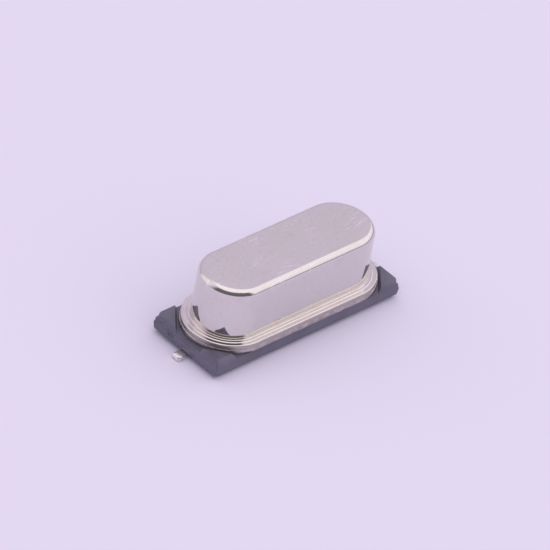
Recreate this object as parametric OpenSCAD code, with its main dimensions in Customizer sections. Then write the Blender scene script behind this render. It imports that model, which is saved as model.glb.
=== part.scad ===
// Surface-mount quartz crystal unit: a welded metal can on a black insulator plate.
// Millimetres, +Z up. The origin is on the board under the middle of the part;
// +X runs along the length. The soldering faces of the leads lie at z = 0.

/* [Insulator base] */
// Length of the moulded plate
base_l = 11.4; // [11.2:0.1:11.8]
// Width of the moulded plate
base_w = 4.3; // [4.2:0.1:4.8]
// Thickness of the plate under the header
plate_t = 0.6; // [0.5:0.05:0.7]
// Height of the corner blocks above the plate's underside
block_h = 0.83; // [0.8:0.01:1]
// Gap between the header's flange and the slanting inner face of a corner block
block_gap = 0.09; // [0.09:0.01:0.2]
// Radius of the plate's corners and of the two sharp blocks, in plan
corner_sharp_r = 0.1; // [0.05:0.01:0.2]
// Radius of the corners of the two blunt blocks, in plan
corner_blunt_r = 0.3; // [0.2:0.05:0.4]

/* [Can] */
// Height of the top of the can above the board
can_top = 3.96; // [3.6:0.02:4.2]
// Half the length of the straight sides, shared by header and cap
straight_half = 3.17; // [3.1:0.01:3.2]
// Outside radius of the cap's round ends, which is half its width
cap_r = 1.72; // [1.7:0.01:1.76]
// Thickness of the drawn sheet
sheet_t = 0.25; // [0.2:0.01:0.26]
// Outside radius of the edge round the top of the cap
crown_r = 0.34; // [0.3:0.01:0.4]
// Radius of the hollow at the foot of the cap wall
foot_r = 0.06; // [0.04:0.01:0.1]
// Outside radius of the cap's flange
cap_flange_r = 2.13; // [2.1:0.01:2.13]
// Outside radius of the header's flange
header_flange_r = 2.17; // [2.15:0.01:2.2]
// Thickness of the header's flange
header_flange_t = 0.2; // [0.15:0.01:0.25]
// How much further than the can the flanges reach at the left end
flange_left = 0.04; // [0:0.01:0.1]
// How much further than the can the flanges reach at the right end
flange_right = 0.1; // [0:0.01:0.1]
// Height of the header's raised middle above its underside
header_h = 0.95; // [0.8:0.05:1.1]

/* [Leads] */
// Distance between the two wires
lead_pitch = 4.88; // [4.8:0.02:4.96]
// Diameter of the round wire
wire_d = 0.43; // [0.4:0.01:0.45]
// Width of the flattened foot
foot_w = 0.5; // [0.46:0.01:0.56]
// Thickness of the flattened foot
foot_t = 0.24; // [0.2:0.01:0.26]
// Distance of the left foot's tip from the middle
left_reach = 6.2; // [6.1:0.05:6.35]
// Distance of the right foot's tip from the middle
right_reach = 6.4; // [6.1:0.05:6.45]
// Height of the plate's underside above the board
stand_off = 0.18; // [0.14:0.01:0.19]
// Diameter of the glass seal round each wire
glass_d = 1.3; // [1.1:0.05:1.5]

/* [Resonator] */
// Length of the quartz strip
blank_l = 8; // [7.6:0.1:8.2]
// Width of the quartz strip
blank_w = 2; // [1.6:0.1:2.1]
// Thickness of the quartz strip
blank_t = 0.2; // [0.12:0.01:0.3]
// Thickness that stands in for the vacuum-deposited silver film
film_t = 0.02; // [0.02:0.01:0.04]
// Thickness of the spring clips' strip
clip_t = 0.1; // [0.08:0.01:0.12]

/* [Hidden] */

$fn = 96;
slack = 0.02;                // how far a cutting shape runs past the face it cuts

// Heights of the stack
plate_top = stand_off + plate_t;
flange_top = plate_top + header_flange_t;
header_top = plate_top + header_h;
cap_flange_top = flange_top + sheet_t;
wire_x = lead_pitch / 2;
wire_top = header_top + 0.3;
shelf_top = wire_top + 0.5;
blank_top = shelf_top + film_t + blank_t;

// Base details
block_foot_x = base_l / 2 - 0.09;   // outer faces of the blocks where they leave the plate
block_foot_y = base_w / 2 - 0.03;
block_lean_x = 0.03;         // how far the faces lean in by the blocks' top
sharp_block_lean_y = 0.19;
blunt_block_lean_y = 0.05;
block_lean_in = 0.11;
block_angle = 41;            // direction in plan that an inner face turns its back on
sharp_block_l = 1.06;        // the two sharp blocks end this far from the plate's edges
sharp_block_w = 1.18;
sharp_block_run_l = 0.25;    // run of their sloping ends
sharp_block_run_w = 0.08;
wire_hole_d = 0.6;
bend_r = 0.34;               // centre-line radius of the bend in the lead
foot_taper = 0.3;            // run in which the wire widens into the foot
groove_w = foot_w + 0.2;
groove_depth = foot_t - stand_off;
relief_w = 0.9;              // relief round the foot where it leaves the plate
relief_l = 0.25;
relief_depth = 0.1;

// Header and cap details
header_r = cap_r - sheet_t - 0.09;
header_edge_r = 0.12;
flange_edge_r = 0.03;
flange_chamfer = 0.04;       // under the rim of the header's flange
cap_edge_r = 0.04;
weld_groove_r = cap_r + 0.195; // inner edge of the shallow groove that the welding electrode leaves
weld_groove_w = 0.17;
weld_groove_depth = 0.015;
crown_in_r = crown_r - sheet_t;
foot_in_r = foot_r + sheet_t;

// Resonator details
tip_chamfer = 0.1;
clip_w = 0.9;
shelf_x = 3.3;               // the clip's riser stands here
shelf_end = blank_l / 2 + 0.22;
film_l = 4.6;
film_w = 1.5;
film_tail_w = 0.5;
dab_r = 0.45;

// A section drawn in the half plane x > 0 is carried round a racetrack path
// whose round ends are centred at -left and +right.
module racetrack_sweep(left = straight_half, right = straight_half) {
    for (turn = [0, 180]) {
        near = turn == 0 ? right : left;
        rotate(turn) {
            translate([near, 0, 0])
                rotate(-90)
                    rotate_extrude(angle = 180)
                        children();
            translate([near - left - right, 0, 0])
                rotate([90, 0, 90])
                    linear_extrude(left + right)
                        children();
        }
    }
}

// Half section of a block from the axis out to r, with its upper edge rounded.
module round_topped(r, z0, z1, edge_r) {
    translate([0, z0]) square([r, z1 - edge_r - z0]);
    translate([0, z0]) square([r - edge_r, z1 - z0]);
    translate([r - edge_r, z1 - edge_r])
        intersection() {
            circle(edge_r);
            square(edge_r);
        }
}

// The hollow between a wall at r and a floor at z.
module cove(r, z, cove_r) {
    difference() {
        translate([r - slack, z - slack]) square(cove_r + slack);
        translate([r + cove_r, z + cove_r]) circle(cove_r);
    }
}

// Rectangle in plan with rounded corners.
module rounded_plate(l, w, r) {
    for (x = [r - l / 2, l / 2 - r], y = [r - w / 2, w / 2 - r])
        translate([x, y]) circle(r);
    square([l - 2 * r, w], center = true);
    square([l, w - 2 * r], center = true);
}

// Everything beyond a wall that stands `away` from the origin in the direction `angle`
// and leans back by `lean` over the height of a block.
module beyond_wall(away, angle, lean) {
    rotate(angle)
        translate([away, 0, 0])
            rotate([0, -atan(lean / (block_h - plate_t)), 0])
                translate([0, -10, -10]) cube([10, 20, 20]);
}

// Block on the corner towards +x and +y: two leaning outer faces and a slanting inner face.
// A sharp block is also cut off by two sloping ends.
module corner_block(plan_r, sharp) {
    translate([0, 0, plate_top])
        difference() {
            translate([0, 0, -slack])
                linear_extrude(block_h - plate_t + slack)
                    intersection() {
                        rounded_plate(2 * (block_foot_x + slack), 2 * (block_foot_y + slack / 2), plan_r);
                        square([base_l, base_w]);
                    }
            beyond_wall(block_foot_x, 0, block_lean_x);
            beyond_wall(block_foot_y, 90, sharp ? sharp_block_lean_y : blunt_block_lean_y);
            translate([straight_half, 0, 0])
                beyond_wall(-header_flange_r - block_gap, block_angle - 180, block_lean_in);
            if (sharp) {
                beyond_wall(sharp_block_l + sharp_block_run_l - base_l / 2, 180, sharp_block_run_l);
                beyond_wall(sharp_block_w + sharp_block_run_w - base_w / 2, -90, sharp_block_run_w);
            }
        }
}

module lead_passage() {
    translate([wire_x, 0, stand_off - slack]) cylinder(d = wire_hole_d, h = plate_t + 2 * slack);
    translate([wire_x - groove_w / 2, -groove_w / 2, stand_off - slack])
        cube([base_l / 2 - wire_x + groove_w, groove_w, groove_depth + slack]);
    translate([wire_x - groove_w / 2, -groove_w / 2, stand_off])
        cube([groove_w, groove_w, bend_r + foot_t / 2 - stand_off + slack]);
    translate([base_l / 2 - relief_l, -relief_w / 2, stand_off - slack])
        cube([relief_l + slack, relief_w, relief_depth + slack]);
}

module insulator_base() {
    color([0.13, 0.125, 0.145])
        difference() {
            union() {
                translate([0, 0, stand_off])
                    linear_extrude(plate_t)
                        rounded_plate(base_l, base_w, corner_sharp_r);
                for (turn = [0, 180])
                    rotate(turn) {
                        corner_block(corner_sharp_r, true);
                        mirror([1, 0, 0]) corner_block(corner_blunt_r, false);
                    }
            }
            for (side = [0, 1])
                mirror([side, 0, 0]) lead_passage();
        }
}

// Half section of the header's flange: small upper edge, chamfer underneath.
module header_flange_section() {
    r = header_flange_r;
    polygon([[0, plate_top], [r - flange_chamfer, plate_top], [r, plate_top + flange_chamfer],
             [r, flange_top - flange_edge_r], [r - flange_edge_r, flange_top], [0, flange_top]]);
}

module header() {
    color([0.74, 0.7, 0.68])
        difference() {
            union() {
                racetrack_sweep(straight_half + flange_left, straight_half + flange_right)
                    header_flange_section();
                racetrack_sweep()
                    round_topped(header_r, plate_top, header_top, header_edge_r);
            }
            for (side = [-1, 1])
                translate([side * wire_x, 0, plate_top - slack])
                    cylinder(d = glass_d, h = header_h + 2 * slack);
        }
}

module cap() {
    color([0.8, 0.76, 0.78])
        difference() {
            union() {
                racetrack_sweep() {
                    union() {
                        round_topped(cap_r, flange_top, can_top, crown_r);
                        cove(cap_r, cap_flange_top, foot_r);
                    }
                }
                racetrack_sweep(straight_half + flange_left, straight_half + flange_right)
                    round_topped(cap_flange_r, flange_top, cap_flange_top, cap_edge_r);
            }
            racetrack_sweep(straight_half + flange_left, straight_half + flange_right)
                translate([weld_groove_r, cap_flange_top - weld_groove_depth])
                    square([weld_groove_w, weld_groove_depth + slack]);
            racetrack_sweep() {
                union() {
                    translate([0, -slack])
                        round_topped(cap_r - sheet_t, flange_top, can_top - sheet_t + slack, crown_in_r);
                    cove(cap_r - sheet_t, flange_top, foot_in_r);
                }
            }
        }
}

module glass_seal(side) {
    color([0.35, 0.5, 0.45])
        translate([side * wire_x, 0, plate_top])
            difference() {
                cylinder(d = glass_d, h = header_h);
                translate([0, 0, -slack]) cylinder(d = wire_d, h = header_h + 2 * slack);
            }
}

// Side view of a lead below the wire: the bend, then the flat foot.
module lead_side(foot_start, bend_z, reach) {
    intersection() {
        difference() {
            translate([foot_start, bend_z]) circle(bend_z);
            translate([foot_start, bend_z]) circle(bend_z - foot_t);
        }
        translate([foot_start - bend_z, 0]) square(bend_z);
    }
    translate([wire_x - foot_t / 2, bend_z - slack]) square([foot_t, 2 * slack]);
    translate([foot_start - slack, 0]) square([reach - foot_start + slack, foot_t]);
}

// Plan of a lead below the wire, which is hammered wider towards the tip.
module lead_plan(foot_start, foot_end) {
    polygon([[wire_x - wire_d, -wire_d / 2], [foot_start, -wire_d / 2],
             [foot_start + foot_taper, -foot_w / 2], [foot_end - tip_chamfer, -foot_w / 2],
             [foot_end, -foot_w / 2 + tip_chamfer], [foot_end, foot_w / 2 - tip_chamfer],
             [foot_end - tip_chamfer, foot_w / 2], [foot_start + foot_taper, foot_w / 2],
             [foot_start, wire_d / 2], [wire_x - wire_d, wire_d / 2]]);
}

// Round wire through the seal, bent outwards under the plate and flattened to the tip.
module lead(side) {
    foot_start = wire_x + bend_r;
    bend_z = bend_r + foot_t / 2;
    reach = side < 0 ? left_reach : right_reach;
    color([0.8, 0.79, 0.78])
        mirror([side < 0 ? 1 : 0, 0, 0]) {
            translate([wire_x, 0, bend_z - slack])
                cylinder(d = wire_d, h = wire_top - bend_z + slack);
            intersection() {
                rotate([90, 0, 0])
                    linear_extrude(2 * foot_w, center = true)
                        lead_side(foot_start, bend_z, reach);
                translate([0, 0, -slack])
                    linear_extrude(2 * bend_z)
                        lead_plan(foot_start, reach);
            }
        }
}

// Thin strip welded on the wire's end, stepped up to a shelf under the end of the blank.
module spring_clip(side) {
    color([0.72, 0.7, 0.62])
        mirror([side < 0 ? 1 : 0, 0, 0]) {
            translate([wire_x - 0.35, -clip_w / 2, wire_top])
                cube([shelf_x - wire_x + 0.35, clip_w, clip_t]);
            translate([shelf_x - clip_t, -clip_w / 2, wire_top])
                cube([clip_t, clip_w, shelf_top - wire_top]);
            translate([shelf_x - clip_t, -clip_w / 2, shelf_top - clip_t])
                cube([shelf_end - shelf_x + clip_t, clip_w, clip_t]);
        }
}

module quartz_blank() {
    color([0.85, 0.88, 0.92, 0.5])
        translate([-blank_l / 2, -blank_w / 2, shelf_top + film_t])
            cube([blank_l, blank_w, blank_t]);
}

// Middle pad with a tail that runs to one end of the blank.
module electrode(z, side) {
    pad = side * film_l / 2;
    tail = side * blank_l / 2;
    color([0.86, 0.86, 0.86])
        translate([0, 0, z])
            linear_extrude(film_t)
                polygon([[-pad, -film_w / 2], [pad, -film_w / 2], [pad, -film_tail_w / 2],
                         [tail, -film_tail_w / 2], [tail, film_tail_w / 2],
                         [pad, film_tail_w / 2], [pad, film_w / 2], [-pad, film_w / 2]]);
}

// Dab of conductive adhesive over the end of the blank and the end of the clip.
module adhesive(side) {
    dab_z = shelf_top;
    color([0.62, 0.62, 0.64])
        mirror([side < 0 ? 1 : 0, 0, 0])
            difference() {
                translate([blank_l / 2 - 0.2, 0, dab_z])
                    rotate_extrude()
                        round_topped(dab_r, 0, dab_r, dab_r - slack);
                translate([0, -blank_w / 2, dab_z - slack])
                    cube([blank_l / 2, blank_w, film_t + blank_t + slack]);
                translate([0, -film_tail_w / 2, blank_top - slack])
                    cube([blank_l / 2, film_tail_w, (side < 0 ? film_t : 0) + slack]);
            }
}

insulator_base();
header();
cap();
glass_seal(-1);  // glass_seal_left
glass_seal(1);  // glass_seal_right
lead(-1);  // lead_left
lead(1);  // lead_right
spring_clip(-1);  // spring_clip_left
spring_clip(1);  // spring_clip_right
quartz_blank();
electrode(blank_top, -1);  // electrode_top
electrode(shelf_top, 1);  // electrode_bottom
adhesive(-1);  // adhesive_left
adhesive(1);  // adhesive_right
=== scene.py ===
"""Looks of the surface-mount quartz crystal unit: bright drawn can, welded header, moulded plate, tinned leads."""
import math

import bmesh
import bpy
from mathutils import Matrix, Vector


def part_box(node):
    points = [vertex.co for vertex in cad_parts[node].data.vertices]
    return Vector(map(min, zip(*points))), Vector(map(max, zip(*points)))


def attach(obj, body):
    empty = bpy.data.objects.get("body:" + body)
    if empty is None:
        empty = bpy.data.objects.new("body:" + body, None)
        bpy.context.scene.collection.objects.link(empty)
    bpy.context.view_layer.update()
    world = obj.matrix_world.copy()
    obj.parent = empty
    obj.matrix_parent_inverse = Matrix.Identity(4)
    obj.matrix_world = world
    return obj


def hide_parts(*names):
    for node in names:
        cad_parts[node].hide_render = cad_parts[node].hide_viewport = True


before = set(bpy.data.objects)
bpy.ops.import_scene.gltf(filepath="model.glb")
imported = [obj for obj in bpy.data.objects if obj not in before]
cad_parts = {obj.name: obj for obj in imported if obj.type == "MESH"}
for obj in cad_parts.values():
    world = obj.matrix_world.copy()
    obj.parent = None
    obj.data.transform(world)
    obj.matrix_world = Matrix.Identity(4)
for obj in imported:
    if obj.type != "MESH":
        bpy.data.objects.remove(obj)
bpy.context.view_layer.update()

MM = 0.001

# ---------------------------------------------------------------- sizes from the frame
BASE_LOW, BASE_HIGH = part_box("insulator_base")
HEADER_LOW, HEADER_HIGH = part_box("header")
CAP_LOW, CAP_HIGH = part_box("cap")
LEFT_LEAD_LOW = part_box("lead_left")[0]
LEAD_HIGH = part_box("lead_right")[1]
SEAL_LOW, SEAL_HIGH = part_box("glass_seal_right")

CAP_FLANGE_R = CAP_HIGH.y
HEADER_FLANGE_R = HEADER_HIGH.y
PLATE_TOP = HEADER_LOW.z
BLOCK_TOP = BASE_HIGH.z
WELD_Z = CAP_LOW.z
WIRE_X = (SEAL_LOW.x + SEAL_HIGH.x) / 2
SEAL_R = (SEAL_HIGH.x - SEAL_LOW.x) / 2

# ---------------------------------------------------------------- sizes of the visible pieces
SLACK = 0.1 * MM
SOFT_R = 0.02 * MM
CRISP_R = 0.015 * MM

# The can, its flange and the two fine ridges on it
STRAIGHT_HALF = 3.17 * MM
REACH_LEFT = -CAP_LOW.x - CAP_FLANGE_R - STRAIGHT_HALF
REACH_RIGHT = CAP_HIGH.x - CAP_FLANGE_R - STRAIGHT_HALF
CAP_R = 1.72 * MM
SHEET = 0.25 * MM
LAND = WELD_Z + SHEET
CROWN_R = 0.34 * MM
INNER_CROWN_R = 0.08 * MM
FOOT_R = 0.05 * MM
GROOVE_FROM = 1.915 * MM
GROOVE_TO = 2.085 * MM
GROOVE_DEEP = 0.015 * MM
RIDGE_FROM = 1.845 * MM
RIDGE_RUN = 0.03 * MM
CAP_EDGE_R = 0.05 * MM
ROLLOVER = 0.03 * MM
WOBBLE = 0.004 * MM

# The header and the weld
HEADER_R = 1.38 * MM
HEADER_SHOULDER_R = 0.12 * MM
LIP_R = 0.03 * MM
LIP_UNDERCUT = 0.03 * MM
RIM_BITE = 0.03 * MM
WELD_OUT = 0.05 * MM

# The plate and its corner blocks
PARTING_LINE = 0.6 * MM
EDGE_SOFTNESS = 0.04 * MM
CREASE_ANGLE = 25
BLOCK_ROOT = 0.05 * MM
BLOCK_FOOT_X = 5.61 * MM
BLOCK_FOOT_Y = 2.12 * MM
BLOCK_LEAN_X = 0.03 * MM
SHARP_BLOCK_LEAN_Y = 0.19 * MM
BLUNT_BLOCK_LEAN_Y = 0.05 * MM
BLOCK_LEAN_IN = 0.11 * MM
BLOCK_GAP = 0.09 * MM
BLOCK_ANGLE = 41
SHARP_BLOCK_X = 4.64 * MM
SHARP_BLOCK_Y = 0.97 * MM
SHARP_BLOCK_RUN_X = 0.25 * MM
SHARP_BLOCK_RUN_Y = 0.08 * MM
CORNER_SHARP_R = 0.1 * MM
CORNER_BLUNT_R = 0.24 * MM

# The leads and their way through the plate
WIRE_D = 0.43 * MM
FOOT_W = 0.5 * MM
FOOT_T = 0.24 * MM
FOOT_ROUNDNESS = 0.6
BEND_R = 0.34 * MM
TIP_BEVEL = 0.1 * MM
LEAD_SIDES = 32
WIRE_RINGS, FOOT_RINGS, TIP_RINGS = 12, 20, 4
WIRE_HOLE_D = 0.6 * MM
GROOVE_W = FOOT_W + 0.2 * MM
RELIEF_W = 0.9 * MM
RELIEF_L = 0.25 * MM
RELIEF_DEPTH = 0.1 * MM

# Where the moulding gate broke off the left end: each spot's centre and half sizes, in mm
GATE_DENTS = (((-5.7, 0.97, 0.55), (0.1, 0.24, 0.13)), ((-5.68, 1.72, 0.7), (0.07, 0.13, 0.09)))
GATE_LUMPS = (((-5.61, 1.34, 0.69), (0.07, 0.16, 0.09)),)


# ---------------------------------------------------------------- node trees
def feed(tree, socket, value):
    """Sets an input to a value, or links it to the socket that feeds it."""
    if isinstance(value, bpy.types.NodeSocket):
        tree.links.new(value, socket)
    else:
        socket.default_value = value


def put(tree, kind, inputs=None, **settings):
    """Adds a node; each input is a value or the socket that feeds it."""
    node = tree.nodes.new(kind)
    for key, value in settings.items():
        setattr(node, key, value)
    for key, value in (inputs or {}).items():
        feed(tree, node.inputs[key], value)
    return node


def calc(tree, operation, *values):
    """One arithmetic step on numbers or sockets."""
    return put(tree, "ShaderNodeMath", dict(enumerate(values)), operation=operation).outputs[0]


def ramp_between(tree, value, low, high, to_low=0.0, to_high=1.0):
    """Smooth change from to_low to to_high as value goes from low to high."""
    inputs = {"Value": value, "From Min": low, "From Max": high, "To Min": to_low, "To Max": to_high}
    return put(tree, "ShaderNodeMapRange", inputs, interpolation_type="SMOOTHSTEP").outputs[0]


def mix_colours(tree, factor, first, second):
    """The first colour where factor is 0, the second where it is 1."""
    return put(tree, "ShaderNodeMix", {0: factor, 6: first, 7: second}, data_type="RGBA").outputs[2]


def vector_step(tree, operation, inputs):
    """One step of vector arithmetic."""
    return put(tree, "ShaderNodeVectorMath", inputs, operation=operation).outputs[0]


def noise(tree, coords, scale, detail=2.0, rough=0.5, stretch=None):
    """Noise value from 0 to 1, with the coordinates stretched first if asked."""
    if stretch:
        coords = put(tree, "ShaderNodeMapping", {"Vector": coords, "Scale": stretch}).outputs[0]
    inputs = {"Vector": coords, "Scale": scale, "Detail": detail, "Roughness": rough}
    return put(tree, "ShaderNodeTexNoise", inputs).outputs[0]


# ---------------------------------------------------------------- mesh helpers
def mesh_object(name, mesh):
    """New object that shows a mesh, standing at the origin."""
    obj = bpy.data.objects.new(name, mesh)
    bpy.context.scene.collection.objects.link(obj)
    return obj


def shape_object(name, shape):
    """New object from a bmesh, which is used up."""
    mesh = bpy.data.meshes.new(name)
    shape.to_mesh(mesh)
    shape.free()
    return mesh_object(name, mesh)


def flatten(obj):
    """Replaces an object's modifiers by their result."""
    graph = bpy.context.evaluated_depsgraph_get()
    mesh = bpy.data.meshes.new_from_object(obj.evaluated_get(graph), depsgraph=graph)
    obj.modifiers.clear()
    obj.data = mesh
    return obj


def seal(obj, distance=2e-7):
    """Merges doubles and turns every face outwards."""
    shape = bmesh.new()
    shape.from_mesh(obj.data)
    bmesh.ops.remove_doubles(shape, verts=shape.verts, dist=distance)
    bmesh.ops.recalc_face_normals(shape, faces=shape.faces)
    if shape.calc_volume(signed=True) < 0:
        bmesh.ops.reverse_faces(shape, faces=shape.faces)
    shape.to_mesh(obj.data)
    shape.free()
    return obj


def prism(outline, bottom, top):
    """Closed block over a plan outline of (x, y) points."""
    shape = bmesh.new()
    low = [shape.verts.new((x, y, bottom)) for x, y in outline]
    high = [shape.verts.new((x, y, top)) for x, y in outline]
    shape.faces.new(high)
    shape.faces.new(low[::-1])
    for i in range(len(outline)):
        j = (i + 1) % len(outline)
        shape.faces.new((low[i], low[j], high[j], high[i]))
    bmesh.ops.recalc_face_normals(shape, faces=shape.faces)
    return shape_object("block", shape)


def loft(rings):
    """Closed solid through rings of (x, y, z), all with the same number of points."""
    count = len(rings[0])
    verts = [point for ring in rings for point in ring]
    faces = [list(range(count))[::-1], list(range(len(verts) - count, len(verts)))]
    for level in range(len(rings) - 1):
        for i in range(count):
            a, b = level * count + i, level * count + (i + 1) % count
            faces.append((a, b, b + count, a + count))
    mesh = bpy.data.meshes.new("loft")
    mesh.from_pydata(verts, [], faces)
    return seal(mesh_object("loft", mesh), 1e-8)


def box_outline(x0, x1, y0, y1):
    """Corners of a rectangle, anticlockwise."""
    return [(x0, y0), (x1, y0), (x1, y1), (x0, y1)]


def arc(cx, cy, radius, start, end, steps):
    """Points of an arc, angles in degrees."""
    angles = [math.radians(start + (end - start) * i / steps) for i in range(steps + 1)]
    return [(cx + radius * math.cos(a), cy + radius * math.sin(a)) for a in angles]


def join_shape(obj, other, operation):
    """Adds or cuts another solid, which is used up."""
    modifier = obj.modifiers.new("shape", "BOOLEAN")
    modifier.operation = operation
    modifier.solver = "EXACT"
    modifier.object = other
    flatten(obj)
    bpy.data.objects.remove(other)
    return obj


def pebble(centre, size):
    """Small uneven lump, for a spot that broke off roughly."""
    shape = bmesh.new()
    bmesh.ops.create_icosphere(shape, subdivisions=3, radius=1.0)
    for v in shape.verts:
        x, y, z = v.co
        uneven = 1 + 0.2 * math.sin(4.1 * y + 2.3 * z) * math.cos(3.7 * z - 2.9 * x)
        v.co = [c + uneven * s * p for c, s, p in zip(centre, size, (x, y, z))]
    return shape_object("pebble", shape)


# ---------------------------------------------------------------- the racetrack sweep
SWEEP_INPUTS = (
    ("Half Straight", "Float"), ("Reach Left", "Float"), ("Reach Right", "Float"), ("Reach From", "Float"),
    ("Reach To", "Float"), ("Arc Steps", "Int"), ("Straight Steps", "Int"), ("Fillet Steps", "Int"),
    ("Wobble", "Float"), ("Wobble Scale", "Float"), ("Rim From", "Float"), ("Rim To", "Float"),
    ("Rim Bite", "Float"), ("Rim Scale", "Float"), ("Material", "Material"))
SWEEP_VALUES = {
    "Half Straight": STRAIGHT_HALF, "Reach Left": REACH_LEFT, "Reach Right": REACH_RIGHT,
    "Reach From": CAP_R, "Reach To": CAP_FLANGE_R - 0.1 * MM,
    "Arc Steps": 96, "Straight Steps": 60, "Fillet Steps": 12, "Wobble": 0.0, "Wobble Scale": 400.0,
    "Rim From": CAP_R, "Rim To": HEADER_FLANGE_R, "Rim Bite": 0.0, "Rim Scale": 9000.0}


def sweep_inputs(tree):
    """Declares what a sweep is given, and returns the sockets that hold it."""
    face = tree.interface
    face.new_socket(name="Geometry", in_out="INPUT", socket_type="NodeSocketGeometry")
    for name, kind in SWEEP_INPUTS:
        face.new_socket(name=name, in_out="INPUT", socket_type="NodeSocket" + kind)
    face.new_socket(name="Geometry", in_out="OUTPUT", socket_type="NodeSocketGeometry")
    return put(tree, "NodeGroupInput").outputs


def filleted_section(tree, given):
    """The section as a curve with rounded corners, and how many points it has."""
    radius = put(tree, "GeometryNodeInputNamedAttribute", {"Name": "fillet"}, data_type="FLOAT").outputs[0]
    line = put(tree, "GeometryNodeMeshToCurve", {"Mesh": given["Geometry"]}).outputs[0]
    inputs = {"Curve": line, "Count": given["Fillet Steps"], "Radius": radius}
    section = put(tree, "GeometryNodeFilletCurve", inputs, mode="POLY").outputs[0]
    size = put(tree, "GeometryNodeAttributeDomainSize", {0: section}, component="CURVE")
    return section, size.outputs["Point Count"]


def read_section(tree, section, value, place, kind):
    """What the section holds at one of its points."""
    inputs = {"Geometry": section, "Value": value, "Index": place}
    return put(tree, "GeometryNodeSampleIndex", inputs, data_type=kind, domain="POINT").outputs[0]


def way_round(tree, given, station):
    """Where a station stands: half of the track, part of the arc and part of the straight."""
    half_turn = calc(tree, "ADD", given["Arc Steps"], given["Straight Steps"])
    half = calc(tree, "FLOOR", calc(tree, "DIVIDE", calc(tree, "ADD", station, 0.5), half_turn))
    step = calc(tree, "SUBTRACT", station, calc(tree, "MULTIPLY", half, half_turn))
    turn = calc(tree, "MINIMUM", calc(tree, "DIVIDE", step, given["Arc Steps"]), 1.0)
    past = calc(tree, "SUBTRACT", step, given["Arc Steps"])
    run = calc(tree, "MAXIMUM", calc(tree, "DIVIDE", past, given["Straight Steps"]), 0.0)
    return half, turn, run


def arc_centre(tree, given, radius, second, run):
    """Place of the arc's centre along the track; a flange reaches further at one end than at the other."""
    difference = calc(tree, "SUBTRACT", given["Reach Right"], given["Reach Left"])
    here = calc(tree, "MULTIPLY_ADD", second, difference, given["Reach Left"])
    there = calc(tree, "SUBTRACT", given["Reach Right"], calc(tree, "MULTIPLY", second, difference))
    apart = ramp_between(tree, radius, given["Reach From"], given["Reach To"])
    near = calc(tree, "MULTIPLY_ADD", apart, here, given["Half Straight"])
    far = calc(tree, "MULTIPLY_ADD", apart, there, given["Half Straight"])
    return calc(tree, "SUBTRACT", calc(tree, "MULTIPLY", calc(tree, "ADD", near, far), run), near)


def bitten_radius(tree, given, radius, spot):
    """The radius less the small bites that make a rim ragged."""
    grain = noise(tree, spot, given["Rim Scale"], 3.0, 0.6)
    mask = ramp_between(tree, radius, given["Rim From"], given["Rim To"])
    depth = calc(tree, "MULTIPLY", ramp_between(tree, grain, 0.35, 0.75), mask)
    return calc(tree, "SUBTRACT", radius, calc(tree, "MULTIPLY", depth, given["Rim Bite"]))


def sheet_drift(tree, given, spot):
    """Slow unevenness of drawn sheet."""
    wave = put(tree, "ShaderNodeTexNoise", {"Vector": spot, "Scale": given["Wobble Scale"], "Detail": 1.0})
    centred = vector_step(tree, "SUBTRACT", {0: wave.outputs["Color"], 1: (0.5, 0.5, 0.5)})
    return vector_step(tree, "SCALE", {0: centred, "Scale": given["Wobble"]})


def track_place(tree, given, half, turn, run, reach):
    """Distance round the track and across the section, for marks that follow the rim."""
    round_arc = calc(tree, "MULTIPLY", given["Rim To"], math.pi)
    straight = calc(tree, "MULTIPLY", given["Half Straight"], 2.0)
    done = calc(tree, "ADD", calc(tree, "MULTIPLY", turn, round_arc), calc(tree, "MULTIPLY", run, straight))
    along = calc(tree, "ADD", calc(tree, "MULTIPLY", half, calc(tree, "ADD", round_arc, straight)), done)
    return put(tree, "ShaderNodeCombineXYZ", {0: along, 1: reach}).outputs[0]


def finish_sweep(tree, given, grid, place, track):
    """Puts the grid in its place, stores the track's distances and merges the doubled points."""
    held = put(tree, "GeometryNodeCaptureAttribute", {"Geometry": grid}, domain="POINT")
    held.capture_items.new("VECTOR", "track")
    feed(tree, held.inputs["track"], track)
    inputs = {"Geometry": held.outputs["Geometry"], "Position": place}
    placed = put(tree, "GeometryNodeSetPosition", inputs).outputs[0]
    inputs = {"Geometry": placed, "Name": "track", "Value": held.outputs["track"]}
    stored = put(tree, "GeometryNodeStoreNamedAttribute", inputs,
                 data_type="FLOAT_VECTOR", domain="CORNER").outputs[0]
    merged = put(tree, "GeometryNodeMergeByDistance", {"Geometry": stored, "Distance": 2e-7}).outputs[0]
    smooth = put(tree, "GeometryNodeSetShadeSmooth", {"Geometry": merged}).outputs[0]
    real = put(tree, "GeometryNodeRealizeInstances", {"Geometry": smooth}).outputs[0]
    coated = put(tree, "GeometryNodeSetMaterial", {"Geometry": real, "Material": given["Material"]}).outputs[0]
    put(tree, "NodeGroupOutput", {"Geometry": coated})


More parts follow.
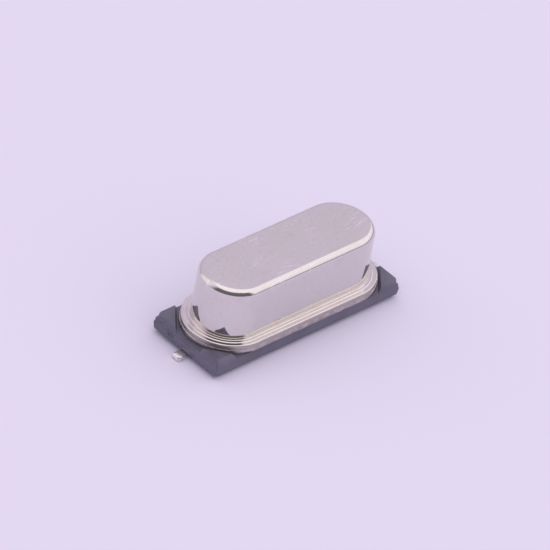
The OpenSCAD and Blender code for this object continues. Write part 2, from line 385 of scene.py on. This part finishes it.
def racetrack_tree():
    """Carries a filleted section round a racetrack. The section is a line of points (r, 0, z)."""
    tree = bpy.data.node_groups.new("Racetrack sweep", "GeometryNodeTree")
    given = sweep_inputs(tree)
    section, points = filleted_section(tree, given)
    stations = calc(tree, "MULTIPLY", calc(tree, "ADD", given["Arc Steps"], given["Straight Steps"]), 2.0)
    inputs = {"Vertices X": calc(tree, "ADD", stations, 1.0), "Vertices Y": points}
    grid = put(tree, "GeometryNodeMeshGrid", inputs).outputs["Mesh"]

    index = put(tree, "GeometryNodeInputIndex").outputs[0]
    station = calc(tree, "FLOOR", calc(tree, "DIVIDE", calc(tree, "ADD", index, 0.5), points))
    place = calc(tree, "SUBTRACT", index, calc(tree, "MULTIPLY", station, points))
    position = put(tree, "GeometryNodeInputPosition").outputs[0]
    length = put(tree, "GeometryNodeSplineParameter").outputs["Length"]
    reach = read_section(tree, section, length, place, "FLOAT")
    profile = put(tree, "ShaderNodeSeparateXYZ",
                  {0: read_section(tree, section, position, place, "FLOAT_VECTOR")}).outputs

    half, turn, run = way_round(tree, given, station)
    second = calc(tree, "MODULO", half, 2.0)
    sign = calc(tree, "SUBTRACT", 1.0, calc(tree, "MULTIPLY", second, 2.0))
    centre = arc_centre(tree, given, profile[0], second, run)
    angle = calc(tree, "ADD", calc(tree, "MULTIPLY", turn, math.pi), math.pi / 2)
    across_x, across_y = calc(tree, "COSINE", angle), calc(tree, "SINE", angle)

    def at(radius):
        x = calc(tree, "ADD", centre, calc(tree, "MULTIPLY", radius, across_x))
        y = calc(tree, "MULTIPLY", radius, across_y)
        spot = {0: calc(tree, "MULTIPLY", x, sign), 1: calc(tree, "MULTIPLY", y, sign), 2: profile[2]}
        return put(tree, "ShaderNodeCombineXYZ", spot).outputs[0]

    plain = at(profile[0])
    bitten = at(bitten_radius(tree, given, profile[0], plain))
    final = vector_step(tree, "ADD", {0: bitten, 1: sheet_drift(tree, given, plain)})
    finish_sweep(tree, given, grid, final, track_place(tree, given, half, turn, run, reach))
    return tree


def racetrack_piece(name, section, material, **values):
    """section is a list of (r, z, fillet radius); values name the tree's inputs."""
    mesh = bpy.data.meshes.new(name)
    mesh.from_pydata([(r, 0, z) for r, z, _ in section], [(i, i + 1) for i in range(len(section) - 1)], [])
    fillet = mesh.attributes.new("fillet", "FLOAT", "POINT")
    fillet.data.foreach_set("value", [radius for _, _, radius in section])
    obj = mesh_object(name, mesh)
    modifier = obj.modifiers.new("sweep", "NODES")
    modifier.node_group = RACETRACK
    given = {**SWEEP_VALUES, "Material": material, **values}
    for socket in RACETRACK.interface.items_tree:
        if socket.in_out == "INPUT" and socket.name in given:
            modifier[socket.identifier] = given[socket.name]
    return seal(flatten(obj))


RACETRACK = racetrack_tree()


# ---------------------------------------------------------------- colours
CAN_CLOUDS = (0.725, 0.69, 0.655, 1), (0.755, 0.71, 0.69, 1)
CAN_SPECK = (0.42, 0.30, 0.28, 1)
CAN_MOTTLE = (0.62, 0.575, 0.555, 1)
CAN_ROSE = (0.70, 0.60, 0.57, 1)
CAN_STRAW = (0.70, 0.70, 0.64, 1)
CAN_WORN = (0.62, 0.55, 0.53, 1)
CAN_EDGE = (0.46, 0.41, 0.41, 1)
CAN_SCRATCH = (0.92, 0.88, 0.86, 1)
WELD_TONES = (0.60, 0.54, 0.53, 1), (0.42, 0.37, 0.37, 1)
SLATE_TONES = (0.090, 0.085, 0.120, 1), (0.130, 0.123, 0.172, 1)
TIN_TONES = (0.90, 0.86, 0.85, 1), (0.78, 0.74, 0.73, 1)
GLASS_TONES = (0.03, 0.06, 0.055, 1), (0.06, 0.11, 0.095, 1)
STRIP_TONES = (0.66, 0.62, 0.54, 1), (0.56, 0.52, 0.45, 1)
QUARTZ_TONES = (0.86, 0.9, 0.93, 1), (0.93, 0.95, 0.97, 1)
SILVER_TONES = (0.90, 0.89, 0.87, 1), (0.82, 0.80, 0.76, 1)
ADHESIVE_TONES = (0.38, 0.38, 0.39, 1), (0.55, 0.55, 0.56, 1)


# ---------------------------------------------------------------- materials
def new_material(name, **values):
    """A material with one Principled shader; values are set on its own sockets."""
    material = bpy.data.materials.new(name)
    material.use_nodes = True
    shader = material.node_tree.nodes["Principled BSDF"]
    for key, value in values.items():
        shader.inputs[key.replace("_", " ")].default_value = value
    return material, material.node_tree, shader


def object_coords(tree):
    """Place on the piece, in metres from the origin."""
    return put(tree, "ShaderNodeTexCoord").outputs["Object"]


def bump(tree, shader, height, distance, strength=1.0, after=None):
    """Relief on the surface, laid over the relief named by after."""
    inputs = {"Height": height, "Distance": distance, "Strength": strength}
    if after:
        inputs["Normal"] = after
    relief = put(tree, "ShaderNodeBump", inputs).outputs[0]
    feed(tree, shader.inputs["Normal"], relief)
    return relief


def two_tone(tree, shader, pattern, tones, roughness, span=(0.3, 0.7)):
    """Two colours and two roughnesses that follow one pattern."""
    feed(tree, shader.inputs["Base Color"], mix_colours(tree, ramp_between(tree, pattern, *span), *tones))
    feed(tree, shader.inputs["Roughness"], ramp_between(tree, pattern, 0.3, 0.7, *roughness))


def tinted(tree, colour, mask, amount, tint):
    """Colour moved towards a tint by amount where the mask is 1."""
    return mix_colours(tree, calc(tree, "MULTIPLY", mask, amount), colour, tint)


def turned(tree, coords, angle, stretch=(1, 1, 1)):
    """Coordinates turned about the upright axis, in degrees, and then stretched."""
    turn = (0, 0, math.radians(angle))
    return put(tree, "ShaderNodeMapping", {"Vector": coords, "Rotation": turn, "Scale": stretch}).outputs[0]


def hairlines(tree, coords, angle, width, amount):
    """Sparse, slightly bent handling scratches, 1 in a scratch and 0 beside it."""
    sway = put(tree, "ShaderNodeTexNoise", {"Vector": coords, "Scale": 420.0, "Detail": 0.0}).outputs["Color"]
    sway = vector_step(tree, "SCALE", {0: sway, "Scale": 1.6 * MM})
    bent = vector_step(tree, "ADD", {0: coords, 1: sway})
    streak = noise(tree, turned(tree, bent, angle, (0.08, 1.0, 0.4)), width, 1.0)
    patch = noise(tree, turned(tree, coords, angle), 800.0, 1.0)
    line = ramp_between(tree, streak, 1 - amount, 1 - amount + 0.05)
    return calc(tree, "MULTIPLY", line, ramp_between(tree, patch, 0.56, 0.66))


def can_colour(tree, coords):
    """Nickel silver with soft clouds, blotches, fine mottle and a few dark specks."""
    cloud = noise(tree, coords, 450.0, 3.0)
    colour = mix_colours(tree, ramp_between(tree, cloud, 0.3, 0.7), *CAN_CLOUDS)
    speck = put(tree, "ShaderNodeTexVoronoi", {"Vector": coords, "Scale": 2600.0}, feature="F1").outputs
    rare = ramp_between(tree, noise(tree, coords, 900.0, 1.0), 0.60, 0.66)
    dot = calc(tree, "MULTIPLY", ramp_between(tree, speck["Distance"], 0.12, 0.05), rare)
    colour = tinted(tree, colour, dot, 0.7, CAN_SPECK)
    mottle = noise(tree, coords, 11000.0, 3.0, 0.7)
    colour = mix_colours(tree, ramp_between(tree, mottle, 0.45, 0.8, 0.0, 0.6), colour, CAN_MOTTLE)
    blotch = noise(tree, coords, 2600.0, 2.0, 0.6)
    colour = mix_colours(tree, ramp_between(tree, blotch, 0.56, 0.72, 0.0, 0.45), colour, CAN_ROSE)
    return mix_colours(tree, ramp_between(tree, blotch, 0.44, 0.3, 0.0, 0.45), colour, CAN_STRAW)


def flange_marks(tree, height):
    """Masks of the flange's face and of its outer edge, and the streaks that run along the flange."""
    face = ramp_between(tree, height, LAND + 0.06 * MM, LAND + 0.025 * MM)
    edge_z = LAND - ROLLOVER
    edge = ramp_between(tree, height, edge_z + 0.015 * MM, edge_z - 0.015 * MM)
    track = put(tree, "ShaderNodeAttribute", attribute_name="track").outputs["Vector"]
    return face, edge, noise(tree, track, 1.0, 4.0, 0.65, stretch=(900, 14000, 1))


def can_scratches(tree, coords, height):
    """Handling scratches in four directions, most of them near the top."""
    scratches = hairlines(tree, coords, 62.0, 13000.0, 0.365)
    for angle, width in ((-25.0, 12000.0), (14.0, 15000.0), (-74.0, 14000.0)):
        scratches = calc(tree, "MAXIMUM", scratches, hairlines(tree, coords, angle, width, 0.355))
    crown = ramp_between(tree, height, CAP_HIGH.z - 0.5 * MM, CAP_HIGH.z - 0.1 * MM, 0.25, 1.0)
    return calc(tree, "MULTIPLY", scratches, crown)


def bright_can():
    """Drawn can: bright, lightly scratched on top, worn along the flange and dull at its edge."""
    material, tree, shader = new_material("bright drawn nickel silver", Metallic=1.0, Roughness=0.06)
    coords = object_coords(tree)
    height = put(tree, "ShaderNodeSeparateXYZ", {0: coords}).outputs[2]
    flange, edge, streak = flange_marks(tree, height)
    worn = calc(tree, "MULTIPLY", flange, ramp_between(tree, streak, 0.42, 0.72))
    scratches = can_scratches(tree, coords, height)

    colour = can_colour(tree, coords)
    for mask, amount, tint in ((worn, 0.6, CAN_WORN), (edge, 0.7, CAN_EDGE), (scratches, 0.6, CAN_SCRATCH)):
        colour = tinted(tree, colour, mask, amount, tint)
    feed(tree, shader.inputs["Base Color"], colour)

    rough = ramp_between(tree, noise(tree, coords, 6000.0, 4.0, 0.7), 0.3, 0.75, 0.05, 0.10)
    for mask, more in ((worn, 0.08), (flange, 0.02), (scratches, 0.12), (edge, 0.4)):
        rough = calc(tree, "MULTIPLY_ADD", mask, more, rough)
    feed(tree, shader.inputs["Roughness"], rough)

    drawn = noise(tree, coords, 7000.0, 3.0, 0.6, stretch=(1, 1, 0.06))
    relief = bump(tree, shader, drawn, 0.0002 * MM, 0.5)
    relief = bump(tree, shader, noise(tree, coords, 2500.0), 0.0002 * MM, 0.6, relief)
    relief = bump(tree, shader, calc(tree, "MULTIPLY", streak, flange), 0.002 * MM, 0.4, relief)
    bump(tree, shader, calc(tree, "SUBTRACT", 1.0, scratches), 0.0005 * MM, 0.5, relief)
    return material


def welded_rim():
    """Nickel plate, dulled by the weld."""
    material, tree, shader = new_material("nickel plate at the weld", Metallic=1.0, Roughness=0.16)
    coords = object_coords(tree)
    two_tone(tree, shader, noise(tree, coords, 2200.0, 3.0, 0.6), WELD_TONES, (0.36, 0.52), span=(0.35, 0.7))
    bump(tree, shader, noise(tree, coords, 7000.0, 4.0, 0.6), 0.003 * MM, 0.5)
    return material


def slate_plastic():
    """Dark moulding compound, fine-grained and slightly lumpy."""
    material, tree, shader = new_material("black moulding compound", Roughness=0.36, IOR=1.6)
    coords = object_coords(tree)
    two_tone(tree, shader, noise(tree, coords, 900.0, 4.0, 0.6), SLATE_TONES, (0.30, 0.44))
    lumps = bump(tree, shader, noise(tree, coords, 2600.0, 3.0), 0.01 * MM, 0.4)
    bump(tree, shader, noise(tree, coords, 16000.0, 3.0, 0.6), 0.003 * MM, 0.5, lumps)
    return material


def tinned_wire():
    """Wire dipped in molten tin, in uneven bright patches."""
    material, tree, shader = new_material("hot tinned wire", Metallic=1.0, Roughness=0.2)
    coords = object_coords(tree)
    two_tone(tree, shader, noise(tree, coords, 4200.0, 3.0, 0.6), TIN_TONES, (0.26, 0.42))
    bump(tree, shader, noise(tree, coords, 9000.0, 3.0, 0.6), 0.006 * MM, 0.4)
    return material


def sealing_glass():
    """Dark green glass, fused in place."""
    material, tree, shader = new_material("fused sealing glass", Roughness=0.08, IOR=1.52, Coat_Weight=0.3)
    coords = object_coords(tree)
    two_tone(tree, shader, noise(tree, coords, 3000.0, 4.0, 0.6), GLASS_TONES, (0.05, 0.16))
    bump(tree, shader, noise(tree, coords, 5000.0), 0.004 * MM, 0.5)
    return material


def spring_strip():
    """Spring strip with its rolling lines."""
    material, tree, shader = new_material("rolled spring strip", Metallic=1.0, Roughness=0.25)
    rolled = noise(tree, object_coords(tree), 12000.0, 3.0, 0.6, stretch=(0.05, 1, 1))
    two_tone(tree, shader, rolled, STRIP_TONES, (0.2, 0.34))
    bump(tree, shader, rolled, 0.001 * MM, 0.5)
    return material


def lapped_quartz():
    """Clear quartz with a fine lapped frost."""
    material, tree, shader = new_material("lapped quartz", Roughness=0.3, IOR=1.55, Transmission_Weight=0.85)
    frost = noise(tree, object_coords(tree), 12000.0, 4.0, 0.7)
    two_tone(tree, shader, frost, QUARTZ_TONES, (0.22, 0.42))
    bump(tree, shader, frost, 0.001 * MM, 0.5)
    return material


def silver_film():
    """Thin silver, slightly hazed."""
    material, tree, shader = new_material("evaporated silver", Metallic=1.0, Roughness=0.28)
    coords = object_coords(tree)
    two_tone(tree, shader, noise(tree, coords, 1500.0, 4.0, 0.6), SILVER_TONES, (0.22, 0.36))
    bump(tree, shader, noise(tree, coords, 14000.0, 3.0), 0.0006 * MM, 0.5)
    return material


def silver_adhesive():
    """Grey adhesive, full of silver flakes."""
    material, tree, shader = new_material("silver-filled adhesive", Roughness=0.6, Metallic=0.35)
    flakes = noise(tree, object_coords(tree), 18000.0, 3.0, 0.7)
    two_tone(tree, shader, flakes, ADHESIVE_TONES, (0.45, 0.7), span=(0.35, 0.65))
    bump(tree, shader, flakes, 0.004 * MM, 0.6)
    return material


# ---------------------------------------------------------------- pieces
def make_cap(material):
    """Drawn can: crown, wall, foot and flange, outside and then inside."""
    top = CAP_HIGH.z - WOBBLE / 2
    rim = CAP_FLANGE_R - WOBBLE / 2
    foot_z = LAND - 0.5 * GROOVE_DEEP
    groove_z = LAND - GROOVE_DEEP
    section = [
        (0, top, 0),
        (CAP_R, top, CROWN_R),
        (CAP_R, foot_z, FOOT_R),
        (RIDGE_FROM, foot_z, SOFT_R),
        (RIDGE_FROM + RIDGE_RUN, LAND + 0.8 * GROOVE_DEEP, SOFT_R),
        (GROOVE_FROM, groove_z, CRISP_R),
        (GROOVE_TO - RIDGE_RUN, groove_z, CRISP_R),
        (GROOVE_TO - RIDGE_RUN / 2, LAND + 0.003 * MM, CRISP_R),
        (rim, LAND - ROLLOVER, CAP_EDGE_R),
        (rim, WELD_Z, SOFT_R),
        (CAP_R - SHEET, WELD_Z, SHEET),
        (CAP_R - SHEET, top - SHEET, INNER_CROWN_R),
        (0, top - SHEET, 0),
    ]
    return racetrack_piece("drawn_can", section, material, Wobble=WOBBLE)


def make_header(material):
    """Header with its welding flange, pierced for the two glass seals."""
    section = [
        (0, HEADER_HIGH.z, 0),
        (HEADER_R, HEADER_HIGH.z, HEADER_SHOULDER_R),
        (HEADER_R, WELD_Z, LIP_R),
        (HEADER_FLANGE_R, WELD_Z, SOFT_R),
        (HEADER_FLANGE_R, HEADER_LOW.z + LIP_UNDERCUT + SOFT_R, LIP_R),
        (HEADER_FLANGE_R - LIP_UNDERCUT, HEADER_LOW.z, LIP_R),
        (0, HEADER_LOW.z, 0),
    ]
    values = {"Rim From": CAP_FLANGE_R - SOFT_R, "Rim Bite": RIM_BITE, "Rim Scale": 4200.0}
    obj = racetrack_piece("header_plate", section, material, **values)
    for side in (-1, 1):
        hole = arc(side * WIRE_X, 0, SEAL_R, 0, 360, 64)[:-1]
        join_shape(obj, prism(hole, HEADER_LOW.z - SLACK, HEADER_HIGH.z + SLACK), "DIFFERENCE")
    return obj


def rounded_ring(half_l, half_w, radius, z):
    """Rectangular ring with rounded corners at one height."""
    points = []
    for turn, (x_side, y_side) in enumerate(((1, 1), (-1, 1), (-1, -1), (1, -1))):
        centre = x_side * (half_l - radius), y_side * (half_w - radius)
        points += arc(*centre, radius, 90 * turn, 90 * turn + 90, 8)
    return [(x, y, z) for x, y in points]


def cut_above(obj, point, normal):
    """Keeps what lies below a plane."""
    shape = bmesh.new()
    shape.from_mesh(obj.data)
    geometry = shape.verts[:] + shape.edges[:] + shape.faces[:]
    cut = bmesh.ops.bisect_plane(shape, geom=geometry, plane_co=point, plane_no=normal, clear_outer=True)
    edges = [e for e in cut["geom_cut"] if isinstance(e, bmesh.types.BMEdge)]
    bmesh.ops.contextual_create(shape, geom=edges)
    shape.to_mesh(obj.data)
    shape.free()


def make_plate():
    """Plate with its mould draft: widest at the parting line, less at top and underside."""
    # Each level: its height, and how far the ends and the sides are drawn in there, in mm
    levels = ((BASE_LOW.z, 0.07, 0.055), (BASE_LOW.z + 0.05 * MM, 0.035, 0.03),
              (PARTING_LINE - 0.1 * MM, 0, 0), (PARTING_LINE - 0.02 * MM, 0.01, 0.002),
              (PARTING_LINE + 0.02 * MM, 0.06, 0.008), (PLATE_TOP - 0.04 * MM, 0.07, 0.012),
              (PLATE_TOP, 0.085, 0.03))
    half_l, half_w = BASE_HIGH.x, BASE_HIGH.y
    return loft([rounded_ring(half_l - dx * MM, half_w - dy * MM, CORNER_SHARP_R, z) for z, dx, dy in levels])


def trim_end(block, axis, side, top_at, run):
    """Gives a block a sloping end that faces the middle: full height at top_at from the middle."""
    point, normal = Vector((0, 0, BLOCK_TOP)), Vector((0, 0, run))
    point[axis], normal[axis] = side * top_at, -side * (BLOCK_TOP - PLATE_TOP)
    cut_above(block, point, normal)


def corner_block(x_side, y_side, radius):
    """One raised corner: two leaning outer faces and a slanting inner face that follows the flange."""
    a = math.radians(BLOCK_ANGLE)
    lean_y = SHARP_BLOCK_LEAN_Y if x_side == y_side else BLUNT_BLOCK_LEAN_Y
    rings = []
    for z, up in ((PLATE_TOP - BLOCK_ROOT, 0), (PLATE_TOP, 0), (BLOCK_TOP, 1)):
        face_x = BLOCK_FOOT_X - up * BLOCK_LEAN_X
        face_y = BLOCK_FOOT_Y - up * lean_y
        away = HEADER_FLANGE_R + BLOCK_GAP + up * BLOCK_LEAN_IN
        low = (face_x, (away - math.cos(a) * (face_x - STRAIGHT_HALF)) / math.sin(a))
        high = (STRAIGHT_HALF + (away - math.sin(a) * face_y) / math.cos(a), face_y)
        outline = [low] + arc(face_x - radius, face_y - radius, radius, 0, 90, 8) + [high]
        rings.append([(x_side * x, y_side * y, z) for x, y in outline])
    block = loft(rings)
    if x_side == y_side:
        trim_end(block, 0, x_side, SHARP_BLOCK_X, SHARP_BLOCK_RUN_X)
        trim_end(block, 1, y_side, SHARP_BLOCK_Y, SHARP_BLOCK_RUN_Y)
    return block


def lead_passage(side):
    """What a lead needs cut out of the plate: hole, groove, bend room and relief."""
    low, past_end = BASE_LOW.z - SLACK, side * (BASE_HIGH.x + SLACK)
    inner, outer = side * (WIRE_X - GROOVE_W / 2), side * (WIRE_X + GROOVE_W / 2)
    mouth = side * (BASE_HIGH.x - RELIEF_L)

    def pocket(x0, x1, width, top):
        return prism(box_outline(*sorted((x0, x1)), -width / 2, width / 2), low, top)

    hole = prism(arc(side * WIRE_X, 0, WIRE_HOLE_D / 2, 0, 360, 48)[:-1], low, PLATE_TOP + SLACK)
    groove = pocket(inner, past_end, GROOVE_W, FOOT_T)
    room = pocket(inner, outer, GROOVE_W, BEND_R + FOOT_T / 2)
    relief = pocket(mouth, past_end, RELIEF_W, BASE_LOW.z + RELIEF_DEPTH)
    return hole, groove, room, relief


def soften_edges(obj):
    """Rounds every edge a little and shades the faces evenly."""
    edge = obj.modifiers.new("edges", "BEVEL")
    edge.width, edge.segments, edge.limit_method = EDGE_SOFTNESS, 3, "ANGLE"
    edge.angle_limit = math.radians(CREASE_ANGLE)
    edge.use_clamp_overlap = True
    flatten(obj)
    for polygon in obj.data.polygons:
        polygon.use_smooth = True
    shading = obj.modifiers.new("shading", "WEIGHTED_NORMAL")
    shading.keep_sharp = True
    flatten(obj)


def make_base(material):
    """Moulded plate with corner blocks, the leads' passages and the broken-off gate."""
    obj = make_plate()
    obj.name = "moulded_plate"
    for x_side in (-1, 1):
        for y_side in (-1, 1):
            radius = CORNER_SHARP_R if x_side == y_side else CORNER_BLUNT_R
            join_shape(obj, corner_block(x_side, y_side, radius), "UNION")
        for cutter in lead_passage(x_side):
            join_shape(obj, cutter, "DIFFERENCE")
    for spots, operation in ((GATE_LUMPS, "UNION"), (GATE_DENTS, "DIFFERENCE")):
        for centre, size in spots:
            join_shape(obj, pebble(Vector(centre) * MM, Vector(size) * MM), operation)
    seal(obj, 1e-6)
    soften_edges(obj)
    obj.data.materials.clear()
    obj.data.materials.append(material)
    return obj


def lead_section(width, thickness, roundness):
    """Closed outline between a circle (roundness 1) and a soft rectangle (roundness near 0)."""
    power = 2 / (2 + 5 * (1 - roundness))
    points = []
    for i in range(LEAD_SIDES):
        a = 2 * math.pi * i / LEAD_SIDES
        c, s = math.cos(a), math.sin(a)
        points.append((math.copysign(abs(c) ** power, c) * width / 2,
                       math.copysign(abs(s) ** power, s) * thickness / 2))
    return points


def lead_stations(end):
    """Cross-sections along a lead: (x, z), direction, width, thickness and roundness."""
    top, bend_z, foot_x = LEAD_HIGH.z, BEND_R + FOOT_T / 2, WIRE_X + BEND_R
    stations = []
    for i in range(WIRE_RINGS + 1):
        stations.append(((WIRE_X, top + (bend_z - top) * i / WIRE_RINGS), (0, -1), WIRE_D, WIRE_D, 1.0))
    for i in range(1, WIRE_RINGS + 1):
        a, blend = math.pi / 2 * i / WIRE_RINGS, i / WIRE_RINGS
        spot = (WIRE_X + BEND_R * (1 - math.cos(a)), bend_z - BEND_R * math.sin(a))
        stations.append((spot, (math.sin(a), -math.cos(a)), WIRE_D + (FOOT_W - WIRE_D) * blend ** 2,
                         WIRE_D + (FOOT_T - WIRE_D) * blend, 1 - (1 - FOOT_ROUNDNESS) * blend))
    for i in range(1, FOOT_RINGS + 1):
        x = foot_x + (end - TIP_BEVEL - foot_x) * i / FOOT_RINGS
        stations.append(((x, FOOT_T / 2), (1, 0), FOOT_W, FOOT_T, FOOT_ROUNDNESS))
    for i in range(1, TIP_RINGS + 1):
        x = end - TIP_BEVEL + TIP_BEVEL * i / TIP_RINGS
        width, thickness = FOOT_W - 1.6 * TIP_BEVEL * i / TIP_RINGS, FOOT_T * (1 - 0.45 * (i / TIP_RINGS) ** 2)
        stations.append(((x, thickness / 2), (1, 0), width, thickness, FOOT_ROUNDNESS))
    return stations


def make_lead(side, end, material):
    """Round wire, bent outwards and hammered flat, with a bevelled tip."""
    stations = lead_stations(end)
    verts, faces = [], []
    for (x, z), (dx, dz), width, thickness, roundness in stations:
        for across, up in lead_section(width, thickness, roundness):
            verts.append((side * (x - dz * up), side * across, max(z + dx * up, 0)))
    for s in range(len(stations) - 1):
        for i in range(LEAD_SIDES):
            a, b = s * LEAD_SIDES + i, s * LEAD_SIDES + (i + 1) % LEAD_SIDES
            faces.append((a, b, b + LEAD_SIDES, a + LEAD_SIDES))
    faces.append(list(range(LEAD_SIDES))[::-1])
    faces.append([len(verts) - LEAD_SIDES + i for i in range(LEAD_SIDES)])
    mesh = bpy.data.meshes.new("lead")
    mesh.from_pydata(verts, [], faces)
    for polygon in mesh.polygons:
        polygon.use_smooth = True
    mesh.materials.append(material)
    return seal(mesh_object("lead_wire_left" if side < 0 else "lead_wire_right", mesh))


def make_weld(material):
    """Thin bead of metal squeezed out where the two flanges are welded, ragged along its edge."""
    r, low = CAP_FLANGE_R - SOFT_R, WELD_Z - 0.004 * MM
    section = [(r, low, 0), (r + 0.9 * WELD_OUT, low, 0.005 * MM),
               (r + WELD_OUT, WELD_Z + 0.012 * MM, 0.006 * MM), (r, WELD_Z + 0.03 * MM, 0), (r, low, 0)]
    values = {"Rim From": r, "Rim To": r + 0.6 * WELD_OUT, "Rim Bite": RIM_BITE, "Rim Scale": 6500.0,
              "Arc Steps": 240, "Straight Steps": 200, "Fillet Steps": 4}
    return racetrack_piece("weld_bead", section, material, **values)


def stands_for(obj, slot, *nodes):
    """A piece that takes the place of CAD nodes; with none named it only rides along."""
    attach(obj, "root")
    if nodes:
        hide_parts(*nodes)


def refinish(material, *nodes):
    """Gives CAD nodes that keep their shape a better material."""
    for name in nodes:
        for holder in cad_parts[name].material_slots:
            holder.material = material


CAN_METAL = bright_can()
RIM_METAL = welded_rim()
PLASTIC = slate_plastic()
TIN = tinned_wire()

stands_for(make_cap(CAN_METAL), "plated_cap", "cap")
stands_for(make_header(RIM_METAL), "plated_header", "header")
stands_for(make_weld(RIM_METAL), "plated_header")
stands_for(make_base(PLASTIC), "moulded_insulator", "insulator_base")
stands_for(make_lead(-1, -LEFT_LEAD_LOW.x, TIN), "tinned_lead", "lead_left")
stands_for(make_lead(1, LEAD_HIGH.x, TIN), "tinned_lead", "lead_right")
refinish(sealing_glass(), "glass_seal_left", "glass_seal_right")
refinish(spring_strip(), "spring_clip_left", "spring_clip_right")
refinish(lapped_quartz(), "quartz_blank")
refinish(silver_film(), "electrode_top", "electrode_bottom")
refinish(silver_adhesive(), "adhesive_left", "adhesive_right")


# ---------------------------------------------------------------- studio
CAMERA_AZIMUTH, CAMERA_ELEVATION, CAMERA_ROLL = -48.75, 37.65, 10.49
CAMERA_DISTANCE = 0.5
CAMERA_LENS = 722.3
AIM = Vector((0, 0, 1.68 * MM))
AIM_OFFSET = (-0.25 * MM, 0.453 * MM)
FLOOR_SIZE = 1.2
FLOOR_COLOUR = (0.797, 0.772, 0.882, 1)
SURROUND_LOW = (0.64, 0.572, 0.725, 1)
SURROUND_HIGH = (0.76, 0.682, 0.84, 1)
LEFT_LIGHT = (1.02, 0.97, 1.04, 1)
RIGHT_LIGHT = (1.17, 1.10, 1.19, 1)
OVERHEAD = (1.21, 1.15, 1.22, 1)
LENS_SIDE = (0.165, 0.153, 0.168, 1)
# Zones of the surround, in degrees: azimuth of the middle, half width at full strength, half width in all
LEFT_ZONE = (130, 14, 28)
RIGHT_ZONE = (323, 51, 66)
LENS_ZONE = (225, 50, 67)


def camera_axes():
    """Right, up and back of the camera."""
    azimuth, elevation, roll = (math.radians(a) for a in (CAMERA_AZIMUTH, CAMERA_ELEVATION, CAMERA_ROLL))
    back = Vector((math.sin(azimuth) * math.cos(elevation), -math.cos(azimuth) * math.cos(elevation),
                   math.sin(elevation)))
    right = Vector((math.cos(azimuth), math.sin(azimuth), 0))
    up = back.cross(right)
    return right * math.cos(roll) + up * math.sin(roll), up * math.cos(roll) - right * math.sin(roll), back


def make_camera():
    """Long lens at a good distance, for little perspective."""
    right, up, back = camera_axes()
    data = bpy.data.cameras.new("camera")
    data.lens, data.sensor_width = CAMERA_LENS, 36
    data.clip_start, data.clip_end = 0.01, 10
    camera = bpy.data.objects.new("camera", data)
    bpy.context.scene.collection.objects.link(camera)
    axes = Matrix((right, up, back)).transposed().to_4x4()
    spot = AIM + right * AIM_OFFSET[0] + up * AIM_OFFSET[1] + back * CAMERA_DISTANCE
    camera.matrix_world = Matrix.Translation(spot) @ axes
    bpy.context.scene.camera = camera


def make_floor():
    """Sheet of pale paper under the part."""
    material, tree, shader = new_material("pale paper", Roughness=0.9, Specular_IOR_Level=0.1)
    shader.inputs["Base Color"].default_value = FLOOR_COLOUR
    bpy.ops.mesh.primitive_plane_add(size=FLOOR_SIZE)
    floor = bpy.context.object
    floor.name = "floor"
    floor.data.materials.append(material)


def make_world():
    """Soft surround: bright overhead, on the right and a little on the left. Metal also mirrors a dark
    side where the lens stands and the dark edge of the table on the right."""
    world = bpy.data.worlds.new("studio")
    bpy.context.scene.world = world
    world.use_nodes = True
    tree = world.node_tree
    tree.nodes.clear()
    way = put(tree, "ShaderNodeTexCoord").outputs["Generated"]
    x, y, height = put(tree, "ShaderNodeSeparateXYZ", {0: way}).outputs
    level = put(tree, "ShaderNodeCombineXYZ", {0: x, 1: y}).outputs[0]
    level = vector_step(tree, "NORMALIZE", {0: level})

    def zone(azimuth, inner, outer):
        a = math.radians(azimuth)
        toward = put(tree, "ShaderNodeVectorMath", {0: level, 1: (math.cos(a), math.sin(a), 0)},
                     operation="DOT_PRODUCT").outputs["Value"]
        return ramp_between(tree, toward, math.cos(math.radians(outer)), math.cos(math.radians(inner)))

    def rise(low, high, *ends):
        return ramp_between(tree, height, math.sin(math.radians(low)), math.sin(math.radians(high)), *ends)

    left = calc(tree, "MULTIPLY", zone(*LEFT_ZONE), calc(tree, "MULTIPLY", rise(-6, 10), rise(62, 48)))
    right = calc(tree, "MULTIPLY", zone(*RIGHT_ZONE), rise(-6, 40, 0.25, 1.0))
    lens_side = calc(tree, "MULTIPLY", zone(*LENS_ZONE), rise(58, 46))
    table_edge = calc(tree, "MULTIPLY", zone(*RIGHT_ZONE), rise(13, 7, 0.0, 0.65))
    mirrored = put(tree, "ShaderNodeLightPath").outputs["Is Glossy Ray"]
    dark = calc(tree, "MULTIPLY", calc(tree, "MAXIMUM", lens_side, table_edge), mirrored)
    colour = mix_colours(tree, rise(0, 50), SURROUND_LOW, SURROUND_HIGH)
    for mask, light in ((left, LEFT_LIGHT), (right, RIGHT_LIGHT), (rise(52, 72), OVERHEAD), (dark, LENS_SIDE)):
        colour = mix_colours(tree, mask, colour, light)
    surround = put(tree, "ShaderNodeBackground", {"Color": colour, "Strength": 1.0}).outputs[0]
    put(tree, "ShaderNodeOutputWorld", {"Surface": surround})


make_camera()
make_floor()
make_world()
bpy.context.scene.view_settings.view_transform = "Standard"
